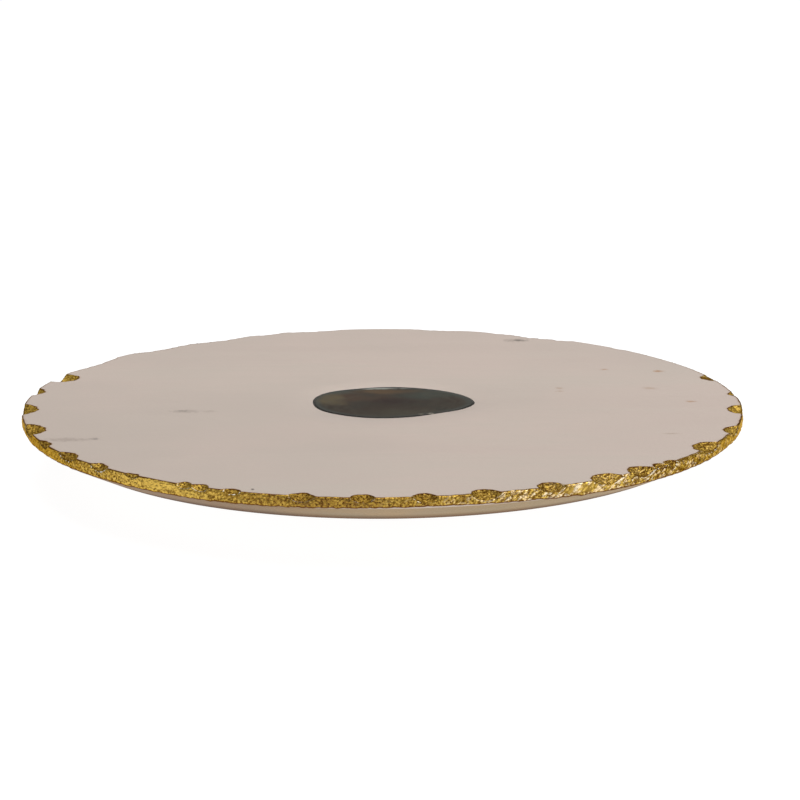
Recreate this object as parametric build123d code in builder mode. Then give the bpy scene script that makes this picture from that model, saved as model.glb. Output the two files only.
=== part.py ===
from build123d import *
from math import cos, hypot, radians, sin
import os

os.makedirs("parts", exist_ok=True)

# A marble lazy susan: a stone disc with a chipped, gilded rim and an agate slice let into its centre,
# turning on a ball bearing over a small wooden base.
# Lengths are in millimetres. The origin is on the spin axis at the table surface, +Z is up, and the
# front faces -Y. An azimuth is in degrees from the front, growing towards +X.

# Stack of heights above the table
FOOT_PROJECTION = 3.0
BASE_THICKNESS = 6.5
RACE_HEIGHT = 8.0
RACE_STEP = 1.5
PAD_THICKNESS = 1.0
SLAB_THICKNESS = 16.5

BASE_BOTTOM = FOOT_PROJECTION
BASE_TOP = BASE_BOTTOM + BASE_THICKNESS
INNER_RACE_TOP = BASE_TOP + RACE_HEIGHT
OUTER_RACE_BOTTOM = BASE_TOP + RACE_STEP
OUTER_RACE_TOP = OUTER_RACE_BOTTOM + RACE_HEIGHT
SLAB_BOTTOM = OUTER_RACE_TOP + PAD_THICKNESS
SLAB_TOP = SLAB_BOTTOM + SLAB_THICKNESS

# Marble slab and its gilded rim
DISC_RADIUS = 190.5
BAND_HEIGHT = 5.5
BEVEL_RUN = 22.5
BEVEL_ROUNDING = 4.0
LEAF_THICKNESS = 0.4
LEAF_STOCK_WIDTH = 20.0
BAND_BOTTOM = SLAB_TOP - BAND_HEIGHT
CORE_RADIUS = DISC_RADIUS - LEAF_THICKNESS
UNDERSIDE_RADIUS = DISC_RADIUS - BEVEL_RUN

# Flakes struck off the top edge: azimuth, half of the width at the rim, reach inwards, depth at the rim
RIM_CHIPS = [
    (-167.5, 26, 3.6, 2.8), (-158, 16, 4.2, 3.0), (-148.5, 34, 7.0, 3.0), (-138, 34, 6.2, 3.0),
    (-120.5, 30, 4.2, 3.0), (-109, 9.5, 12.0, 3.0), (-98.5, 8.5, 5.3, 3.0), (-86.3, 12.5, 8.2, 3.0),
    (-72.8, 12.5, 9.6, 3.0), (-63.5, 8.5, 4.0, 2.6), (-55, 9.2, 5.4, 3.0), (-46.8, 7.6, 5.4, 3.0),
    (-39.6, 6.2, 3.4, 2.2), (-29.8, 4.2, 5.4, 1.8), (-27.2, 5.2, 5.4, 2.1), (-22, 4.6, 4.4, 1.9),
    (-11.6, 7, 6.2, 2.8), (-2.8, 6, 6.8, 2.4), (6, 6.2, 7.2, 2.5), (14.8, 7.6, 8.8, 3.0),
    (25, 6.5, 9.4, 2.6), (34.6, 9.4, 9.3, 3.0), (41.5, 8.2, 9.0, 3.0), (45.3, 3.7, 5.2, 1.5),
    (48, 4.2, 5.4, 1.7), (59.3, 11, 9.8, 3.0), (70.8, 8.8, 6.4, 3.0), (84.4, 10, 8.5, 3.0),
    (95, 6.6, 3.9, 0.8), (107, 8, 6.3, 0.6), (134.5, 8, 1.8, 1.4), (146.5, 9, 4.5, 3.0),
    (151.5, 25, 5.6, 3.0), (157.5, 20, 3.6, 2.8), (169.5, 24, 3.2, 2.5),
]

# Agate slice, its outline in plan from the pointed right end round by the back
AGATE_OUTLINE = [
    (48.3, 0.5), (44.0, 14.0), (32.0, 27.0), (17.5, 34.0), (2.0, 36.5), (-14.0, 32.5), (-28.0, 25.0),
    (-35.2, 13.0), (-36.3, -1.0), (-31.5, -17.0), (-21.0, -27.3), (-8.0, -33.3), (7.0, -33.8),
    (19.0, -30.0), (30.0, -23.2), (39.5, -17.0), (45.8, -9.0),
]
AGATE_THICKNESS = 6.0
RESIN_LINE = 0.6
RESIN_BED = 0.5
POCKET_POINTS = 36

# Ball bearing
BALL_COUNT = 24
BALL_RADIUS = 2.5
BALL_CIRCLE_RADIUS = 57.5
GROOVE_CLEARANCE = 0.1
INNER_RACE_BORE_RADIUS = 45.0
OUTER_RACE_RIM_RADIUS = 70.0
RACE_GAP = 1.6
CAGE_THICKNESS = 1.0
CAGE_HEIGHT = 6.0
CAGE_POCKET_CLEARANCE = 0.15
FILL_HOLE_RADIUS = 2.8
BALL_HEIGHT = (OUTER_RACE_BOTTOM + INNER_RACE_TOP) / 2
GROOVE_RADIUS = BALL_RADIUS + GROOVE_CLEARANCE
INNER_RACE_RIM_RADIUS = BALL_CIRCLE_RADIUS - RACE_GAP / 2
OUTER_RACE_BORE_RADIUS = BALL_CIRCLE_RADIUS + RACE_GAP / 2

# Countersunk M4 screws, six in each race
SCREW_COUNT = 6
M4_RADIUS = 2.0
M4_CLEARANCE_RADIUS = 2.25
M4_HEAD_RADIUS = 4.0
M4_HEAD_RECESS = 0.25
HEX_KEY_RADIUS = 1.44
HEX_KEY_DEPTH = 1.5
THREAD_GAP = 0.05
RACE_SCREW_RADIUS = 65.0
RACE_SCREW_LENGTH = 14.0
BASE_SCREW_RADIUS = 50.5
BASE_SCREW_LENGTH = 12.0
TAPPED_DEPTH = 6.5
INSERT_RADIUS = 3.5
INSERT_LENGTH = 9.0
INSERT_GROOVE_DEPTH = 0.5
INSERT_GROOVE_WIDTH = 1.5
PAD_HOLE_RADIUS = 2.5

# Wooden base and its feet
BASE_RADIUS = 88.0
BASE_ROUNDING = 1.5
FOOT_COUNT = 6
FOOT_CIRCLE_RADIUS = 74.0
FOOT_RADIUS = 9.0
FOOT_TIP_RADIUS = 8.0
FOOT_SEAT_DEPTH = 1.5
FOOT_SEAT_CLEARANCE = 0.2
FOOT_ROUNDING = 0.6
FOOT_BORE_RADIUS = 4.6
FOOT_BORE_DEPTH = 3.0
FOOT_SCREW_HOLE_RADIUS = 1.9
WASHER_RADIUS = 4.3
WASHER_THICKNESS = 0.6
FOOT_SCREW_RADIUS = 1.7
FOOT_SCREW_HEAD_RADIUS = 3.1
FOOT_SCREW_HEAD_HEIGHT = 1.6
FOOT_SCREW_GRIP = 3.6
PILOT_RADIUS = 1.75
PILOT_DEPTH = 3.8
FOOT_TOP = BASE_BOTTOM + FOOT_SEAT_DEPTH


def finish(builder, name):
    """Label a finished piece and write its STEP file."""
    builder.part.label = name
    export_step(builder.part, f"parts/{name}.step")


def underside(height):
    """Plane facing down at a height, so that holes cut from it run upwards."""
    return Plane(origin=(0, 0, height), x_dir=(1, 0, 0), z_dir=(0, 0, -1))


def cut_chips(growth):
    """Strike the flakes off the rim of the open part, each a shallow spherical scar."""
    for azimuth, half_width, reach, depth in RIM_CHIPS:
        plan_radius = (reach**2 + half_width**2) / (2 * reach)
        rise = (half_width**2 - depth**2) / (2 * depth)
        centre_radius = DISC_RADIUS + plan_radius - reach
        angle = radians(azimuth)
        centre = (centre_radius * sin(angle), -centre_radius * cos(angle), SLAB_TOP + rise)
        with Locations(centre):
            Sphere(hypot(plan_radius, rise) + growth, mode=Mode.SUBTRACT)


def race(bore_radius, rim_radius, bottom):
    """Ring with a round ball groove, revolved from its section."""
    with BuildPart() as ring:
        with BuildSketch(Plane.XZ):
            with Locations(((bore_radius + rim_radius) / 2, bottom + RACE_HEIGHT / 2)):
                Rectangle(rim_radius - bore_radius, RACE_HEIGHT)
            with Locations((BALL_CIRCLE_RADIUS, BALL_HEIGHT)):
                Circle(GROOVE_RADIUS, mode=Mode.SUBTRACT)
        revolve(axis=Axis.Z)
    return ring.part


def countersunk_screws(name, seat_height, circle_radius, length):
    """Ring of countersunk M4 screws with hex sockets, entering upwards from seat_height."""
    head_height = seat_height + M4_HEAD_RECESS
    cone_height = M4_HEAD_RADIUS - M4_RADIUS
    with BuildPart() as screws:
        with BuildSketch(underside(head_height)):
            with PolarLocations(circle_radius, SCREW_COUNT):
                Circle(M4_HEAD_RADIUS)
        extrude(amount=-cone_height, taper=45)
        with BuildSketch(Plane.XY.offset(head_height)):
            with PolarLocations(circle_radius, SCREW_COUNT):
                Circle(M4_RADIUS)
        extrude(amount=length)
        with BuildSketch(Plane.XY.offset(head_height)):
            with PolarLocations(circle_radius, SCREW_COUNT):
                RegularPolygon(HEX_KEY_RADIUS, 6)
        extrude(amount=HEX_KEY_DEPTH, mode=Mode.SUBTRACT)
    finish(screws, name)


# Outline of the agate, and the wider outline of its pocket, one resin line further out
with BuildSketch() as agate_shape:
    with BuildLine() as agate_edge:
        Spline(*AGATE_OUTLINE, periodic=True)
    make_face()

with BuildSketch() as pocket_shape:
    with BuildLine():
        pocket_points = []
        for index in range(POCKET_POINTS):
            along = index / POCKET_POINTS
            outward = agate_edge.edge().tangent_at(along).rotate(Axis.Z, -90)
            pocket_points.append(agate_edge.edge().position_at(along) + outward * RESIN_LINE)
        Spline(*pocket_points, periodic=True)
    make_face()

# ---------------------------------------------------------------- turning top

with BuildPart() as marble_disc:
    with BuildSketch(Plane.XZ) as slab_section:
        with BuildLine():
            Polyline(
                (0, SLAB_BOTTOM),
                (UNDERSIDE_RADIUS, SLAB_BOTTOM),
                (CORE_RADIUS, BAND_BOTTOM),
                (CORE_RADIUS, SLAB_TOP),
                (0, SLAB_TOP),
                close=True,
            )
        make_face()
        lower_corner = slab_section.vertices().group_by(Axis.Y)[0].sort_by(Axis.X)[-1]
        fillet(lower_corner, radius=BEVEL_ROUNDING)
    revolve(axis=Axis.Z)
    cut_chips(LEAF_THICKNESS)
    with BuildSketch(Plane.XY.offset(SLAB_TOP)):
        add(pocket_shape.sketch)
    extrude(amount=-(AGATE_THICKNESS + RESIN_BED), mode=Mode.SUBTRACT)
    with BuildSketch(Plane.XY.offset(SLAB_BOTTOM)):
        with PolarLocations(RACE_SCREW_RADIUS, SCREW_COUNT):
            Circle(INSERT_RADIUS + THREAD_GAP)
    extrude(amount=INSERT_LENGTH, mode=Mode.SUBTRACT)
finish(marble_disc, "marble_disc")

with BuildPart() as gold_leaf_edge:
    with BuildSketch(Plane.XZ):
        with Locations((DISC_RADIUS - LEAF_STOCK_WIDTH / 2, SLAB_TOP - BAND_HEIGHT / 2)):
            Rectangle(LEAF_STOCK_WIDTH, BAND_HEIGHT)
    revolve(axis=Axis.Z)
    cut_chips(0)
    add(marble_disc.part, mode=Mode.SUBTRACT)
finish(gold_leaf_edge, "gold_leaf_edge")

with BuildPart() as agate_inlay:
    with BuildSketch(Plane.XY.offset(SLAB_TOP)):
        add(agate_shape.sketch)
    extrude(amount=-AGATE_THICKNESS)
finish(agate_inlay, "agate_inlay")

with BuildPart() as inlay_resin:
    with BuildSketch(Plane.XY.offset(SLAB_TOP)):
        add(pocket_shape.sketch)
    extrude(amount=-(AGATE_THICKNESS + RESIN_BED))
    with BuildSketch(Plane.XY.offset(SLAB_TOP)):
        add(agate_shape.sketch)
    extrude(amount=-AGATE_THICKNESS, mode=Mode.SUBTRACT)
finish(inlay_resin, "inlay_resin")

with BuildPart() as threaded_inserts:
    with BuildSketch(Plane.XY.offset(SLAB_BOTTOM)):
        with PolarLocations(RACE_SCREW_RADIUS, SCREW_COUNT):
            Circle(INSERT_RADIUS)
    extrude(amount=INSERT_LENGTH)
    with BuildSketch(Plane.XY.offset(SLAB_BOTTOM + (INSERT_LENGTH - INSERT_GROOVE_WIDTH) / 2)):
        with PolarLocations(RACE_SCREW_RADIUS, SCREW_COUNT):
            Circle(INSERT_RADIUS + THREAD_GAP)
            Circle(INSERT_RADIUS - INSERT_GROOVE_DEPTH, mode=Mode.SUBTRACT)
    extrude(amount=INSERT_GROOVE_WIDTH, mode=Mode.SUBTRACT)
    with BuildSketch(Plane.XY.offset(SLAB_BOTTOM)):
        with PolarLocations(RACE_SCREW_RADIUS, SCREW_COUNT):
            Circle(M4_RADIUS + THREAD_GAP)
    extrude(amount=INSERT_LENGTH, mode=Mode.SUBTRACT)
finish(threaded_inserts, "threaded_inserts")

with BuildPart() as bearing_pad:
    with BuildSketch(Plane.XY.offset(OUTER_RACE_TOP)):
        Circle(OUTER_RACE_RIM_RADIUS)
        Circle(OUTER_RACE_BORE_RADIUS, mode=Mode.SUBTRACT)
        with PolarLocations(RACE_SCREW_RADIUS, SCREW_COUNT):
            Circle(PAD_HOLE_RADIUS, mode=Mode.SUBTRACT)
    extrude(amount=PAD_THICKNESS)
finish(bearing_pad, "bearing_pad")

# The ball filling hole runs forwards through the outer race, half way between two screws
fill_plane = Plane(origin=(0, 0, BALL_HEIGHT), z_dir=(0, -1, 0))

with BuildPart() as outer_race:
    add(race(OUTER_RACE_BORE_RADIUS, OUTER_RACE_RIM_RADIUS, OUTER_RACE_BOTTOM))
    with Locations(underside(OUTER_RACE_BOTTOM)):
        with PolarLocations(RACE_SCREW_RADIUS, SCREW_COUNT):
            CounterSinkHole(M4_CLEARANCE_RADIUS, M4_HEAD_RADIUS + M4_HEAD_RECESS, counter_sink_angle=90)
    with BuildSketch(fill_plane):
        Circle(FILL_HOLE_RADIUS)
    extrude(amount=OUTER_RACE_RIM_RADIUS + 1, mode=Mode.SUBTRACT)
finish(outer_race, "outer_race")

with BuildPart() as ball_fill_plug:
    with BuildSketch(fill_plane):
        Circle(FILL_HOLE_RADIUS)
    extrude(amount=OUTER_RACE_RIM_RADIUS + 1)
    add(race(OUTER_RACE_BORE_RADIUS, OUTER_RACE_RIM_RADIUS, OUTER_RACE_BOTTOM), mode=Mode.INTERSECT)
finish(ball_fill_plug, "ball_fill_plug")

countersunk_screws("race_screws", OUTER_RACE_BOTTOM, RACE_SCREW_RADIUS, RACE_SCREW_LENGTH)

# ---------------------------------------------------------------- cage and balls

with BuildPart() as ball_cage:
    with BuildSketch(Plane.XY.offset(BALL_HEIGHT - CAGE_HEIGHT / 2)):
        Circle(BALL_CIRCLE_RADIUS + CAGE_THICKNESS / 2)
        Circle(BALL_CIRCLE_RADIUS - CAGE_THICKNESS / 2, mode=Mode.SUBTRACT)
    extrude(amount=CAGE_HEIGHT)
    for index in range(BALL_COUNT):
        angle = radians(360 * index / BALL_COUNT)
        with BuildSketch(Plane(origin=(0, 0, BALL_HEIGHT), z_dir=(sin(angle), -cos(angle), 0))):
            Circle(BALL_RADIUS + CAGE_POCKET_CLEARANCE)
        extrude(amount=BALL_CIRCLE_RADIUS + CAGE_THICKNESS, mode=Mode.SUBTRACT)
finish(ball_cage, "ball_cage")

for index in range(BALL_COUNT):
    angle = radians(360 * index / BALL_COUNT)
    with BuildPart() as ball:
        with Locations((BALL_CIRCLE_RADIUS * sin(angle), -BALL_CIRCLE_RADIUS * cos(angle), BALL_HEIGHT)):
            Sphere(BALL_RADIUS)
    finish(ball, f"ball_{index + 1:02d}")

# ---------------------------------------------------------------- standing base

with BuildPart() as inner_race:
    add(race(INNER_RACE_BORE_RADIUS, INNER_RACE_RIM_RADIUS, BASE_TOP))
    with BuildSketch(Plane.XY.offset(BASE_TOP)):
        with PolarLocations(BASE_SCREW_RADIUS, SCREW_COUNT):
            Circle(M4_RADIUS + THREAD_GAP)
    extrude(amount=TAPPED_DEPTH, mode=Mode.SUBTRACT)
finish(inner_race, "inner_race")

with BuildPart() as base_disc:
    with BuildSketch(Plane.XY.offset(BASE_BOTTOM)):
        Circle(BASE_RADIUS)
    extrude(amount=BASE_THICKNESS)
    fillet(base_disc.edges().filter_by(GeomType.CIRCLE), radius=BASE_ROUNDING)
    with Locations(underside(BASE_BOTTOM)):
        with PolarLocations(BASE_SCREW_RADIUS, SCREW_COUNT):
            CounterSinkHole(M4_CLEARANCE_RADIUS, M4_HEAD_RADIUS + M4_HEAD_RECESS, counter_sink_angle=90)
    with BuildSketch(Plane.XY.offset(BASE_BOTTOM)):
        with PolarLocations(FOOT_CIRCLE_RADIUS, FOOT_COUNT):
            Circle(FOOT_RADIUS + FOOT_SEAT_CLEARANCE)
    extrude(amount=FOOT_SEAT_DEPTH, mode=Mode.SUBTRACT)
    with BuildSketch(Plane.XY.offset(FOOT_TOP)):
        with PolarLocations(FOOT_CIRCLE_RADIUS, FOOT_COUNT):
            Circle(PILOT_RADIUS)
    extrude(amount=PILOT_DEPTH, mode=Mode.SUBTRACT)
finish(base_disc, "base_disc")

countersunk_screws("base_screws", BASE_BOTTOM, BASE_SCREW_RADIUS, BASE_SCREW_LENGTH)

for index in range(FOOT_COUNT):
    angle = radians(360 * index / FOOT_COUNT)
    foot_origin = (FOOT_CIRCLE_RADIUS * cos(angle), FOOT_CIRCLE_RADIUS * sin(angle), 0)
    with BuildPart(Plane(origin=foot_origin)) as foot:
        with BuildSketch(Plane(origin=foot_origin)):
            Circle(FOOT_TIP_RADIUS)
        with BuildSketch(Plane(origin=foot_origin).offset(FOOT_PROJECTION)):
            Circle(FOOT_RADIUS)
        loft()
        with BuildSketch(Plane(origin=foot_origin).offset(FOOT_PROJECTION)):
            Circle(FOOT_RADIUS)
        extrude(amount=FOOT_SEAT_DEPTH)
        fillet(foot.edges().filter_by(GeomType.CIRCLE).sort_by(Axis.Z)[0], radius=FOOT_ROUNDING)
        with BuildSketch(Plane(origin=foot_origin)):
            Circle(FOOT_BORE_RADIUS)
        extrude(amount=FOOT_BORE_DEPTH, mode=Mode.SUBTRACT)
        with BuildSketch(Plane(origin=foot_origin)):
            Circle(FOOT_SCREW_HOLE_RADIUS)
        extrude(amount=FOOT_TOP, mode=Mode.SUBTRACT)
    finish(foot, f"foot_{index + 1}")

with BuildPart() as foot_washers:
    with BuildSketch(Plane.XY.offset(FOOT_BORE_DEPTH - WASHER_THICKNESS)):
        with PolarLocations(FOOT_CIRCLE_RADIUS, FOOT_COUNT):
            Circle(WASHER_RADIUS)
            Circle(FOOT_SCREW_HOLE_RADIUS, mode=Mode.SUBTRACT)
    extrude(amount=WASHER_THICKNESS)
finish(foot_washers, "foot_washers")

with BuildPart() as foot_screws:
    washer_bottom = FOOT_BORE_DEPTH - WASHER_THICKNESS
    with BuildSketch(Plane.XY.offset(washer_bottom - FOOT_SCREW_HEAD_HEIGHT)):
        with PolarLocations(FOOT_CIRCLE_RADIUS, FOOT_COUNT):
            Circle(FOOT_SCREW_HEAD_RADIUS)
    extrude(amount=FOOT_SCREW_HEAD_HEIGHT)
    with BuildSketch(Plane.XY.offset(washer_bottom)):
        with PolarLocations(FOOT_CIRCLE_RADIUS, FOOT_COUNT):
            Circle(FOOT_SCREW_RADIUS)
    extrude(amount=FOOT_TOP + FOOT_SCREW_GRIP - washer_bottom)
finish(foot_screws, "foot_screws")
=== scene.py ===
import math

import bpy
import numpy as np
from mathutils import Euler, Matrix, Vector


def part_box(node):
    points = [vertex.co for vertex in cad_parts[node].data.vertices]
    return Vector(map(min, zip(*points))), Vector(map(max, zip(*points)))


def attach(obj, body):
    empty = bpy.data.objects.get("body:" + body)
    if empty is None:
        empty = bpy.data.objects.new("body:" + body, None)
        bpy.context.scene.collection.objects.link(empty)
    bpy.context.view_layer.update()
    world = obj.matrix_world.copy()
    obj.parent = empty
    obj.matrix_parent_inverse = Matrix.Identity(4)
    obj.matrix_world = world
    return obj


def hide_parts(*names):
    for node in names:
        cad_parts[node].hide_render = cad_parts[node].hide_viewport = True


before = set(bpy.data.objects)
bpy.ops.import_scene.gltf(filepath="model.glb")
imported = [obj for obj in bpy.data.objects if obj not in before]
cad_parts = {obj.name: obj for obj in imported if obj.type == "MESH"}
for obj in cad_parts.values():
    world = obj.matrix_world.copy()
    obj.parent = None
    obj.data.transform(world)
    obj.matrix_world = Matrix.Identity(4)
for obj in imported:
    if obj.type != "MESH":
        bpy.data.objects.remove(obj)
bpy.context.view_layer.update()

# The looks of the marble turntable, in metres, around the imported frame: +Z up, front towards -Y.
# An azimuth runs from the front towards +X.
MM = 0.001

# ---------------------------------------------------------------- sizes taken from the frame
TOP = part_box("marble_disc")[1].z
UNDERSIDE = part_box("marble_disc")[0].z
BAND_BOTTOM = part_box("gold_leaf_edge")[0].z
RIM_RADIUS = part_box("gold_leaf_edge")[1].x
AGATE_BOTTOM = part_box("agate_inlay")[0].z
RESIN_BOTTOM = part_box("inlay_resin")[0].z

# ---------------------------------------------------------------- sizes that the frame doesn't give
BEVEL_WIDTH = 22.5 * MM
BEVEL_ROUNDING = 4.0 * MM
UNDERSIDE_RADIUS = RIM_RADIUS - BEVEL_WIDTH

# How far the faces lie below the nominal top: the stone a little, so that the leaf can lap on to it,
# the resin more than that, and the agate hardly at all
STONE_SINK = 0.12 * MM
RESIN_SINK = 0.25 * MM
AGATE_SINK = 0.03 * MM
STONE_TOP = TOP - STONE_SINK
RESIN_TOP = TOP - RESIN_SINK
AGATE_TOP = TOP - AGATE_SINK

# ---------------------------------------------------------------- the chipped rim
# Flakes struck off the top edge: azimuth in degrees; half width, reach inwards and depth at the rim in mm
RIM_CHIPS = [
    (-167.5, 26, 3.6, 2.8), (-158, 16, 4.2, 3.0), (-148.5, 34, 7.0, 3.0), (-138, 34, 6.2, 3.0),
    (-120.5, 30, 4.2, 3.0), (-109, 9.5, 12.0, 3.0), (-98.5, 8.5, 5.3, 3.0), (-86.3, 12.5, 8.2, 3.0),
    (-72.8, 12.5, 9.6, 3.0), (-63.5, 8.5, 4.0, 2.6), (-55, 9.2, 5.4, 3.0), (-46.8, 7.6, 5.4, 3.0),
    (-39.6, 6.2, 3.4, 2.2), (-29.8, 4.2, 5.4, 1.8), (-27.2, 5.2, 5.4, 2.1), (-22, 4.6, 4.4, 1.9),
    (-11.6, 7, 6.2, 2.8), (-2.8, 6, 6.8, 2.4), (6, 6.2, 7.2, 2.5), (14.8, 7.6, 8.8, 3.0),
    (25, 6.5, 9.4, 2.6), (34.6, 9.4, 9.3, 3.0), (41.5, 8.2, 9.0, 3.0), (45.3, 3.7, 5.2, 1.5),
    (48, 4.2, 5.4, 1.7), (59.3, 11, 9.8, 3.0), (70.8, 8.8, 6.4, 3.0), (84.4, 10, 8.5, 3.0),
    (95, 6.6, 3.9, 0.8), (107, 8, 6.3, 0.6), (134.5, 8, 1.8, 1.4), (146.5, 9, 4.5, 3.0),
    (151.5, 25, 5.6, 3.0), (157.5, 20, 3.6, 2.8), (169.5, 24, 3.2, 2.5),
]
COLUMNS = 2000
turn = np.linspace(0, 2 * np.pi, COLUMNS, endpoint=False)


def polar(radius, angle, height):
    """Points at a radius, azimuth and height, as an array whose last axis is x, y, z."""
    radius, angle, height = np.broadcast_arrays(radius, angle, height)
    return np.stack([radius * np.sin(angle), -radius * np.cos(angle), height], axis=-1)


def ripple(points, wavelength, seed, waves=20):
    """Smooth random field of about unit size: plane waves with seeded directions and phases."""
    random = np.random.default_rng(seed)
    directions = random.normal(size=(waves, 3))
    directions /= np.linalg.norm(directions, axis=1, keepdims=True)
    stretch = random.uniform(0.6, 1.6, (waves, 1))
    phases = random.uniform(0, 2 * np.pi, waves)
    waves_here = np.sin(points @ (directions * stretch).T * (2 * np.pi / wavelength) + phases)
    return waves_here.sum(axis=-1) * math.sqrt(2 / waves)


def smooth(low, high, value):
    """Smooth step from 0 at low to 1 at high."""
    t = np.clip((value - low) / (high - low), 0, 1)
    return t * t * (3 - 2 * t)


def scar_depth(radius, angle):
    """Depth of the struck scars below the top face at polar points; below zero outside them."""
    points = polar(radius, angle, TOP)
    x = points[..., 0] + 0.28 * MM * ripple(points, 7 * MM, 1) + 0.08 * MM * ripple(points, 2.2 * MM, 2)
    y = points[..., 1] + 0.28 * MM * ripple(points, 7 * MM, 3) + 0.08 * MM * ripple(points, 2.2 * MM, 4)
    depth = np.full(x.shape, -1.0)
    for azimuth, half_width, reach, rim_depth in RIM_CHIPS:
        plan_radius = (reach**2 + half_width**2) / (2 * reach) * MM
        rise = (half_width**2 - rim_depth**2) / (2 * rim_depth) * MM
        centre = RIM_RADIUS + plan_radius - reach * MM
        side = math.radians(azimuth)
        away = np.hypot(x - centre * math.sin(side), y + centre * math.cos(side))
        bowl = np.sqrt(np.maximum(plan_radius**2 + rise**2 - away**2, 0)) - rise
        depth = np.maximum(depth, bowl)
    return depth


# How the hand-worked rim varies round the disc: azimuth in degrees; how far the rim lies inside the
# true circle, how far the leaf laps on to the top face and how far the band hangs below its nominal
# foot, in millimetres; how bright the leaf is painted, its own tone and painted light together; how
# crumpled it is; and how strongly the scars' lips carry a painted glint
RIM_CHARACTER = [
    (-110, 0.3, 0.3, 0.0, 0.9, 0.1, 0.1), (-93, 0.3, 0.3, 0.0, 0.8, 0.1, 0.3),
    (-84, 0.9, 0.3, 0.0, 0.6, 0.1, 0.5), (-66, 0.7, 0.3, 0.0, 0.25, 0.1, 0.1),
    (-55, 0.5, 0.3, 0.1, 0.35, 0.25, 1.0), (-46, 1.1, 0.3, 0.5, 0.45, 0.3, 0.9),
    (-36, 1.3, 0.3, 0.7, 0.8, 0.1, 0.1), (-26, 0.5, 0.4, 0.7, 0.5, 0.15, 0.4),
    (-21, 0.5, 0.4, 0.5, 0.2, 0.15, 1.0), (-12, 0.4, 0.6, 0.0, 0.0, 0.2, 0.1),
    (-4, 0.4, 0.8, -0.4, -0.1, 0.2, 0.1), (4, 0.4, 1.6, -0.9, 0.2, 0.3, 0.6),
    (14, 0.4, 2.3, -0.9, 0.5, 0.5, 0.1), (23, 0.4, 2.0, -0.4, 0.65, 0.8, 0.2),
    (30, 0.4, 1.0, 0.4, 1.2, 1.0, 0.3), (45, 0.4, 1.4, 0.6, 0.5, 0.8, 0.6),
    (58, 0.4, 1.2, 0.6, 0.5, 0.5, 0.7), (71, 0.4, 0.8, 0.3, 0.75, 0.4, 0.5),
    (80, 0.4, 0.5, 0.0, 0.9, 0.3, 0.2), (95, 0.4, 0.4, 0.0, 1.0, 0.2, 0.1),
    (140, 0.4, 0.4, 0.0, 0.2, 0.3, 0.2),
]


def round_the_rim(entry):
    """One entry of RIM_CHARACTER at every column, interpolated between the azimuths given."""
    azimuths = np.radians([row[0] for row in RIM_CHARACTER])
    return np.interp(turn, azimuths, [row[entry] for row in RIM_CHARACTER], period=2 * np.pi)


rim_line = polar(RIM_RADIUS, turn, TOP)
rim_wander = np.clip(ripple(rim_line, 40 * MM, 5), -2, 2)
lap_wander = np.clip(ripple(rim_line, 8 * MM, 6), -2, 2)
RIM_OF_TURN = RIM_RADIUS - round_the_rim(1) * MM + 0.12 * MM * rim_wander
LAP_OF_TURN = round_the_rim(2) * MM * (1 + 0.16 * lap_wander)
FOOT_OF_TURN = BAND_BOTTOM - round_the_rim(3) * MM
FOOT_OF_TURN = FOOT_OF_TURN + 0.1 * MM * ripple(rim_line, 6 * MM, 7)
FOOT_OF_TURN = FOOT_OF_TURN + 0.05 * MM * ripple(rim_line, 2 * MM, 8)
SHINE_OF_TURN = round_the_rim(4)
CRUMPLE_OF_TURN = round_the_rim(5)
PAINTED_LIP_GLINT_OF_TURN = round_the_rim(6)

# Where the leaf begins on the top face: at the inner side of a scar, or just inside the rim
SEARCH_WIDTH = 16 * MM
SEARCH_SAMPLES = 160
search_radii = np.linspace(RIM_RADIUS - SEARCH_WIDTH, RIM_RADIUS, SEARCH_SAMPLES)[:, None]
search_depth = scar_depth(search_radii, turn[None, :])
first = np.maximum(np.argmax(search_depth > 0, axis=0), 1)
column = np.arange(COLUMNS)
before = search_depth[first - 1, column]
after = search_depth[first, column]
search_step = search_radii[1, 0] - search_radii[0, 0]
crossing = search_radii[first - 1, 0] + search_step * before / (before - after)
crossing = np.where((search_depth > 0).any(axis=0), crossing, RIM_RADIUS)
LEAF_START = np.minimum(crossing, RIM_OF_TURN - LAP_OF_TURN)

# Profile of the gilded edge in each column: across the scar, round the rim, down the band
SCAR_SAMPLES = 60
BAND_SAMPLES = 40
EDGE_ROUNDING = 0.45 * MM
BAND_BULGE = 0.12 * MM
BAND_TUCK = 0.35 * MM
BAND_CURVE = 1.2 * MM
across = np.linspace(0, 1, SCAR_SAMPLES)[:, None]
scar_r = LEAF_START + (RIM_OF_TURN - LEAF_START) * across
scar_below = np.maximum(scar_depth(scar_r, turn[None, :]), 0)
SCARRED_OF_TURN = smooth(0.1 * MM, 0.7 * MM, scar_below.max(axis=0))
scar_below += EDGE_ROUNDING * 0.5 * smooth(EDGE_ROUNDING * 1.6, 0, RIM_OF_TURN - scar_r)
scar_z = STONE_TOP - scar_below
down = np.linspace(0, 1, BAND_SAMPLES + 1)[1:, None]
band_z = scar_z[-1] + (FOOT_OF_TURN - scar_z[-1]) * down
fall = scar_z[-1] - band_z
climb = band_z - FOOT_OF_TURN
band_r = RIM_OF_TURN + BAND_BULGE * smooth(0, BAND_CURVE, fall) - BAND_TUCK * smooth(BAND_CURVE, 0, climb)
profile_r = np.concatenate([scar_r, band_r])
profile_z = np.concatenate([scar_z, band_z])
steps_along = np.hypot(np.diff(profile_r, axis=0), np.diff(profile_z, axis=0))
length = np.concatenate([np.zeros((1, COLUMNS)), np.cumsum(steps_along, axis=0)])


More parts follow.
